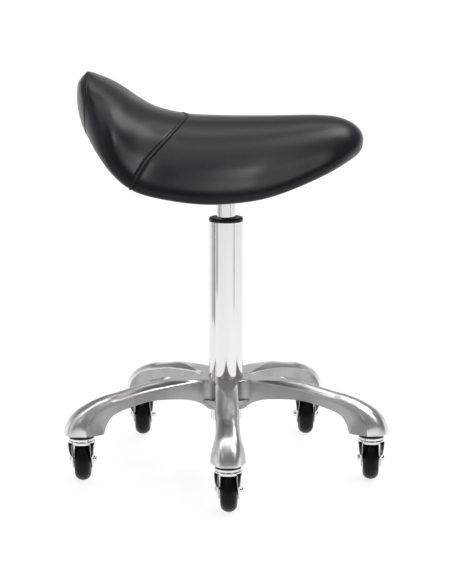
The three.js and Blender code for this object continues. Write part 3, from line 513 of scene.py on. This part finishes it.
# of the ring's top and of its lowest line: x and z; half width; share of the arch in its form
seat_rows = np.array([
    (-0.992, 1.0, -0.992, 1.0, 0, 0), (-0.955, 0.991, -1.047, 0.921, 0.244, 0),
    (-0.90, 0.960, -1.057, 0.818, 0.456, 0), (-0.81, 0.911, -1.047, 0.682, 0.633, 0),
    (-0.705, 0.834, -1.012, 0.506, 0.778, 0.1), (-0.6, 0.748, -0.950, 0.346, 0.878, 0.35),
    (-0.47, 0.676, -0.822, 0.208, 0.944, 0.7), (-0.275, 0.627, -0.645, 0.120, 0.989, 1),
    (-0.1, 0.614, -0.43, 0.045, 1.0, 1), (0.1, 0.611, -0.15, 0, 0.978, 1),
    (0.3, 0.612, 0.13, 0.009, 0.911, 1), (0.475, 0.617, 0.34, 0.05, 0.811, 1),
    (0.64, 0.62, 0.545, 0.10, 0.683, 0.85), (0.78, 0.608, 0.74, 0.162, 0.544, 0.6),
    (0.89, 0.566, 0.875, 0.23, 0.389, 0.3), (0.96, 0.500, 0.955, 0.312, 0.233, 0.1),
    (0.988, 0.418, 0.988, 0.418, 0.0, 0.0),
]) * (half_long, seat_tall, half_long, seat_tall, half_wide, 1)
# half of the arch, from its top over the thigh and back under the board: out and down
arch = np.array([(0, 0), (0.26, 0.03), (0.5, 0.12), (0.7, 0.28), (0.84, 0.5), (0.93, 0.7),
                 (0.99, 0.86), (0.98, 0.97), (0.92, 1.0), (0.84, 0.955), (0.72, 0.828),
                 (0.5, 0.676), (0.24, 0.594), (0, 0.574)])
last_row = len(seat_rows) - 1


def along_rows(rows, spots):
    # smooth curve through even rows; a spot of 2.5 is halfway between rows 2 and 3
    last = len(rows) - 1
    at = np.clip(spots.astype(int), 0, last - 1)
    f = (spots - at)[..., None]
    a, b, c, d = (rows[np.clip(at + k, 0, last)] for k in (-1, 0, 1, 2))
    return 0.5 * (2 * b + (c - a) * f + (2 * a - 5 * b + 4 * c - d) * f ** 2
                  + (3 * b - a - 3 * c + d) * f ** 3)


around = 160
down = 1 - np.abs(np.arange(around) / (around / 2) - 1)
near_side = np.where(np.arange(around) < around / 2, -1.0, 1.0)
arch_ring = along_rows(arch, down * (len(arch) - 1))
oval_ring = np.stack([np.sin(pi * down) ** 0.85, (1 - np.cos(pi * down)) / 2], -1)
# the cantle's sides are padded a little fuller than the rows give, most of all at this row
full_row, full_reach, full_gain, full_down = 5.0, 1.2, 0.045, 0.62
fullness = np.sin(pi * np.clip(down / full_down, 0, 1)) ** 2


def seat_points(spots):
    # one spot along the rows for each line of the ring; the first line is the top of the seat
    rows = along_rows(seat_rows, np.clip(spots, 0, last_row))
    share = rows[..., 5:6]
    shape = arch_ring * share + oval_ring * (1 - share)
    x = rows[..., 0] + (rows[..., 2] - rows[..., 0]) * shape[..., 1]
    z = rows[..., 1] + (rows[..., 3] - rows[..., 1]) * shape[..., 1] + seat_low
    fuller = 1 + full_gain * np.exp(-((spots - full_row) / full_reach) ** 2) * fullness
    y = near_side * shape[..., 0] * np.maximum(rows[..., 4], 0) * fuller
    return np.stack([x, np.where((down == 0) | (down == 1), 0, y), z], -1)


def loft(name, grid, finish, merge):
    rings, count = grid.shape[:2]
    made = new_mesh(name, grid.reshape(-1, 3).tolist(), [], bands(rings, count), [finish])
    clean(made, merge)
    return made


foam = Finish("moulded_foam", (0.70, 0.62, 0.38), 0.95)
foam.set(Normal=foam.bump(foam.cells(700), 0.4, 0.0005))
plywood = Finish("black_stained_plywood", (0.022, 0.019, 0.017), 0.6)
grain = plywood.noise(60, 4, (1, 8, 8)).ramp()
plywood.set(Base_Color=plywood.shade(grain, (0.016, 0.014, 0.012), (0.030, 0.026, 0.022)))
paint("seat_board", plywood)
core = copied(nodes["foam_core"])
core.name = "moulded_foam_core"
core.data.materials.clear()
core.data.materials.append(foam.material)
clean(core)
under_leather = 3.6
every_line = np.repeat(np.linspace(0, last_row, 200)[:, None], around, 1)
skin = loft("foam_skin", seat_points(every_line), foam, 0.3)
inset = np.array([v.co - v.normal * under_leather * MM for v in skin.data.vertices])
skin.data.vertices.foreach_set("co", inset.ravel())
combine(core, skin, "INTERSECT")
smooth(core)
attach(core, "seat_lift")
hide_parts("foam_core")


# Leather cover: smooth black hide in three panels, sewn together, stretched over the foam and
# stapled under the board. One seam runs across the seat and bends back to both sides, and the
# other stands upright round the back of the cantle. The panels tuck in beside the seams.
leather = Finish("black_leather", (0.006, 0.006, 0.008), 0.33, Specular_IOR_Level=0.2)
tone = leather.noise(260, 3).ramp()
leather.set(
    Roughness=leather.noise(30, 3).ramp(0.29, 0.33),
    Base_Color=leather.shade(tone, (0.0075, 0.0075, 0.0115), (0.0105, 0.0105, 0.0155)),
    Normal=leather.bump(leather.cells(1500) * 0.5 + leather.noise(420, 4, rough=0.6), 0.07, 0.0002))
fold_half, fold_lap, tuck_width = 2.6, 0.9, 4.0


def unit(arrows):
    return arrows / np.maximum(np.linalg.norm(arrows, axis=-1, keepdims=True), 1e-9)


def seam(ahead_of, high, tuck):
    # where a line of each ring crosses the seam: its spot, its point, the directions out of and
    # across the seam, and the way across it for one row
    spots = np.linspace(0, last_row, 1601)
    side = ahead_of(seat_points(np.repeat(spots[:, None], around, 1)))
    last = len(spots) - 2 - np.argmax((side[:-1] * side[1:] <= 0)[::-1], 0)
    line = np.arange(around)
    share = side[last, line] / (side[last, line] - side[last + 1, line])
    spot = spots[last] + share * (spots[1] - spots[0])
    points = seat_points(spot[None])[0]
    ahead = (seat_points(spot[None] + 0.01)[0] - seat_points(spot[None] - 0.01)[0]) / 0.02
    along = unit(np.roll(points, -1, 0) - np.roll(points, 1, 0))
    out = unit(np.cross(along, ahead))
    out *= np.sign((out * (points - points.mean(0))).sum())
    across = unit(np.cross(out, along))
    across *= np.sign((across * ahead).sum())
    pace = np.maximum((ahead * across).sum(-1), 4.0)
    return {"spot": spot, "points": points, "out": out, "pace": pace, "high": high, "tuck": tuck}


# the cross seam runs through row 7; its upper part bends back, the more the further out it is
seam_top, seam_foot = seat_rows[7, [0, 1]] + (0, seat_low), seat_rows[7, [2, 3]] + (0, seat_low)
seam_lean = np.array([seam_top[1] - seam_foot[1], seam_foot[0] - seam_top[0]])
seam_lean /= np.linalg.norm(seam_lean)
bend, bend_low, bend_rise = 0.080, 438, 48
rear_seam_x = -196.2


def ahead_of_cross_seam(p):
    straight = (p[..., 0] - seam_top[0]) * seam_lean[0] + (p[..., 2] - seam_top[1]) * seam_lean[1]
    outward = bend * (np.sqrt(p[..., 1] ** 2 + 200) - 10)
    return straight + outward * np.clip((p[..., 2] - bend_low) / bend_rise, 0, 1) ** 0.8


cross_seam = seam(ahead_of_cross_seam, 0.9, 1.6)
rear_seam = seam(lambda p: p[..., 0] - rear_seam_x, 0.45, 0.6)


def panel(name, start, end, rings, thick):
    first, last = np.zeros(around), np.full(around, float(last_row))
    if start:
        first = start["spot"] + (fold_half - fold_lap) / start["pace"]
    if end:
        last = end["spot"] - (fold_half - fold_lap) / end["pace"]
    last = np.maximum(last, first + 0.002)
    even = np.linspace(0, 1, rings)
    closer_at_ends = even - 0.12 * np.sin(tau * even)
    made = loft(name, seat_points(first + (last - first) * closer_at_ends[:, None]), leather, 0.3)
    spots = np.array([v.co for v in made.data.vertices]) / MM
    normals = np.array([v.normal for v in made.data.vertices])
    sink = np.zeros(len(spots))
    for one in filter(None, (start, end)):
        gap = np.sqrt(((spots[:, None] - one["points"][None]) ** 2).sum(-1).min(1))
        near = np.clip(1 - (gap - (fold_half - fold_lap)) / tuck_width, 0, 1)
        sink = np.maximum(sink, near ** 2 * one["tuck"])
    made.data.vertices.foreach_set("co", ((spots - normals * sink[:, None]) * MM).ravel())
    apply_modifier(made, "SOLIDIFY", thickness=thick * MM, offset=-1)
    return made


# the opening under the seat, which the dust cloth closes, as an upright prism
opening_side = [(x, half + 0.3) for x, half in seat_rows[6:13, [2, 4]] * (1, 0.64)]
opening_outline = opening_side + [(x, -half) for x, half in reversed(opening_side)]
opening = closed_loft("opening", [[(x, y, z) for x, y in opening_outline] for z in (380, 492)],
                      [leather])

panels = (
    ("cover_front_leather", cross_seam, None, 150, 1.4, "cover_front_panel"),
    ("cover_cantle_leather", rear_seam, cross_seam, 90, 1.4, "cover_cantle_panel"),
    ("cover_rear_leather", None, rear_seam, 40, 0.3, "cover_rear_panel"),
)
for name, start, end, rings, thick, node in panels:
    piece = panel(name, start, end, rings, thick)
    if node != "cover_rear_panel":
        combine(piece, copied(opening), "DIFFERENCE")
    smooth(piece, 1.0)
    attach(piece, "seat_lift")
    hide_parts(node)
bpy.data.objects.remove(opening)


# Seam folds: a raised fold of the same leather over each seam, turned in on both sides where
# the panels tuck under it.
seam_leather = Finish("seam_leather", (0.006, 0.006, 0.0075), 0.46, Specular_IOR_Level=0.25)
seam_leather.set(Roughness=seam_leather.noise(300, 2).ramp(0.42, 0.52),
                 Normal=seam_leather.bump(seam_leather.cells(1500), 0.12, 0.00025))
fold_crest = [(-2.1, 0.15), (-1.5, 0.62), (-0.8, 0.92), (0, 1.0), (0.8, 0.92), (1.5, 0.62),
              (2.1, 0.15)]
fold_profile = [(-fold_half, -1.5), (-fold_half, -0.55), *fold_crest, (fold_half, -0.55),
                (fold_half, -1.5), (0, -1.5)]
for name, one, node in (("cross_seam_fold", cross_seam, "cross_seam_strip"),
                        ("rear_seam_fold", rear_seam, "rear_seam_strip")):
    lines = []
    for wide, up in fold_profile:
        skin_line = seat_points((one["spot"] + wide / one["pace"])[None])[0]
        lines.append(skin_line + one["out"] * up * one["high"])
    rings = np.stack(lines, 1)
    strip = loft(name, np.concatenate([rings, rings[:1]]), seam_leather, 0.1)
    smooth(strip, 1.0)
    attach(strip, "seat_lift")
    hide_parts(node)


# Dust cloth: a black bonded cloth stapled to the underside of the board, over the opening that
# the leather leaves there.
dust_cloth = Finish("dust_cloth", (0.010, 0.010, 0.011), 0.95)
dust_cloth.set(Normal=dust_cloth.bump(dust_cloth.noise(1500, 2), 0.5, 0.0003))
paint("underside_dust_cover", dust_cloth)


# Caster heads: a chromed stem with a flange, pushed up into the toe's socket, a washer of black
# plastic on the flange, and a chromed fork that hangs from it. Each leg of the fork is a bowed
# skin with a plate behind it; the black filler between them is painted shade, standing for the
# deep shade inside the leg's hollow. One is made at the origin and copied.
# how far each caster stands turned about its stem, as a share of a full turn
caster_turns = (-0.009, -0.011, 0.003, -0.003, 0.0)
trail, wheel_radius = 30.0, 31.5


def set_five(first, node, body):
    name = first.name
    for k, turn in enumerate(arm_turns):
        one = copied(first)
        one.name = one.data.name = f"{name}_{k + 1}"
        axis = Matrix.Translation(Vector((cos(turn), sin(turn), 0)) * toe_out * MM)
        one.data.transform(axis @ Matrix.Rotation(caster_turns[k] * tau, 4, "Z"))
        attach(one, f"{body}_{k + 1}")
        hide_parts(f"{node}_{k + 1}")
    bpy.data.objects.remove(first)


stem = turned("swivel_stem", [(0, 62.3), (4, 62.3), (5.4, 62.8), (6, 63.7), (4, 63.7), (4, 69.7),
                              (18.1, 69.7), (18.5, 70.1), (18.5, 72.6), (17.8, 73.3), (11, 73.3),
                              (8.8, 73.9), (8.8, 74.7), (5.5, 74.7), (5.5, 104), (4.6, 105),
                              (0, 105)], [chrome])
set_five(stem, "caster_stem", "caster")
washer = turned("swivel_washer", [(8.9, 73.5), (17.0, 73.5), (17.3, 73.8), (17.3, 77.8),
                                  (17.0, 78.1), (15.3, 78.1), (15.3, 74.6), (8.9, 74.6)],
                [black_plastic], 64)
set_five(washer, "caster_stem", "caster")

# the leg seen from the side: from the crown it slants back to a round end about the axle
leg_end, end_turns = 13.5, np.linspace(0.85, -2.6, 40)
round_end = [(trail + cos(turn) * leg_end, wheel_radius + sin(turn) * leg_end)
             for turn in end_turns]
leg_outline = [(-15.5, 65.5), (15.5, 65.5), *round_end, (-15.5, 57)]
leg_foot = min(z for _, z in leg_outline) + 0.1
leg_edges = list(zip(leg_outline, leg_outline[1:] + leg_outline[:1]))


def leg_loft(name, heights, inner, outer, inset, finish):
    # a slice of the leg between two faces, each given as its distance out at a height
    rings = []
    for up in heights:
        crossings = [y0 + (y1 - y0) * (up - z0) / (z1 - z0) for (y0, z0), (y1, z1) in leg_edges
                     if (z0 - up) * (z1 - up) <= 0 and z0 != z1]
        near, far = min(crossings) + inset, max(crossings) - inset
        rings.append([(inner(up), near, up), (outer(up), near, up),
                      (outer(up), far, up), (inner(up), far, up)])
    return closed_loft(name, rings, [finish])


def bow(up):
    # the skin's outer face draws in below the crown, and once more round the axle's end
    share = min(max((69.4 - up) / 29.4, 0), 1.6)
    return 18.9 - 3.3 * min(share, 1) ** 1.7 - 1.6 * max(share - 1.15, 0) ** 1.5


def skin_inner(up):
    # the skin is thin above and reaches in to the wheel's side below
    rise = min(max((up - 40) / 8, 0), 1)
    return 13.0 + (bow(up) - 0.6 - 13.0) * rise * rise * (3 - 2 * rise)


def mirrored(made):
    other = copied(made)
    other.data.transform(Matrix.Scale(-1, 4, (1, 0, 0)))
    other.data.flip_normals()
    return other


def joined(name, first, *others):
    select(first)
    for one in others:
        one.select_set(True)
    bpy.ops.object.join()
    first.name = first.data.name = name
    smooth(first, 0.7)
    return first


levels = np.linspace(0, 1, 36)
# heights of the skin's top, the painted-shade filler's foot and top, and the plate's foot
skin_top, shade_fill_foot, shade_fill_top, plate_foot = 65.4, 41, 63.7, 38
crown = turned("fork_crown", [(4.3, 64), (16.4, 64), (17.8, 64.5), (18.5, 65.6), (18.5, 68.7),
                              (18.1, 69.3), (17.2, 69.4), (16.1, 69.0), (16.1, 66.4),
                              (4.3, 66.4)], [chrome])
skin = leg_loft("leg_skin", leg_foot + (skin_top - leg_foot) * (1 - np.cos(pi / 2 * levels)),
                skin_inner, bow, 0.0, chrome)
plate = leg_loft("leg_plate", plate_foot + (skin_top - plate_foot) * levels,
                 lambda up: 12.75, lambda up: 13.35, 0.0, chrome)
for part in (skin, plate):
    round_edges(part, 0.22, 2, 0.8)
fork = joined("caster_fork_fine", crown, skin, mirrored(skin), plate, mirrored(plate))
set_five(fork, "caster_fork", "caster")
# painted shade: a black plastic filler between skin and plate, put where the leg's hollow lies in
# deep shade
leg_shade_fill = leg_loft("leg_shade_filler", shade_fill_foot + (shade_fill_top - shade_fill_foot) * levels,
                 lambda up: 13.5, lambda up: bow(up) - 0.75, 0.5, black_plastic)
leg_shade_fills = joined("fork_shade_filler", leg_shade_fill, mirrored(leg_shade_fill))
set_five(leg_shade_fills, "caster_fork", "caster")


# Caster wheels: a soft black tread moulded on a plastic core, with the mould's parting line
# round its middle. The wheel runs on a chromed bolt with a dome nut outside each leg.
tread = Finish("black_tread", (0.004, 0.004, 0.005), 0.3, Specular_IOR_Level=0.15)
tread.set(Roughness=tread.noise(120, 3).ramp(0.28, 0.36))


def on_axle(made):
    axle = Matrix.Translation((0, trail * MM, wheel_radius * MM))
    made.data.transform(axle @ Matrix.Rotation(pi / 2, 4, "Y"))
    return made


nut = [(0, 20.5), (1.6, 20.35), (3.0, 19.8), (4.1, 18.9), (4.75, 17.7), (4.9, 16.9), (4.9, 15.9),
       (3, 15.9)]
axle_bolt = on_axle(turned("axle_bolt", nut + [(r, -x) for r, x in reversed(nut)], [chrome], 48))
set_five(axle_bolt, "axle_set", "caster")

tread_half, shoulder_radius, crown_rise, parting = 11.75, 20.2, 11.0, 0.5
tread_turns = np.linspace(-pi / 2 * 0.93, pi / 2 * 0.93, 33)
bulge = [(shoulder_radius + crown_rise * cos(turn) ** 0.9, tread_half * sin(turn))
         for turn in tread_turns]
ridge = [(31.2, -parting), (wheel_radius, -parting / 2), (wheel_radius, parting / 2),
         (31.2, parting)]
tyre = on_axle(turned("wheel_tread", [(18.1, -10.9), (20.5, -11.3), *bulge[:16], *ridge,
                                      *bulge[17:], (20.5, 11.3), (18.1, 10.9)], [tread], 128))
set_five(tyre, "caster_tyre", "wheel")
core_side = [(3.35, 12.2), (7.2, 12.2), (7.2, 6.1), (15.4, 6.1), (16, 10.4), (17.8, 10.8)]
wheel_core = on_axle(turned("wheel_core", [(r, -x) for r, x in core_side]
                            + list(reversed(core_side)), [black_plastic], 64, 0.3))
set_five(wheel_core, "wheel_hub", "wheel")
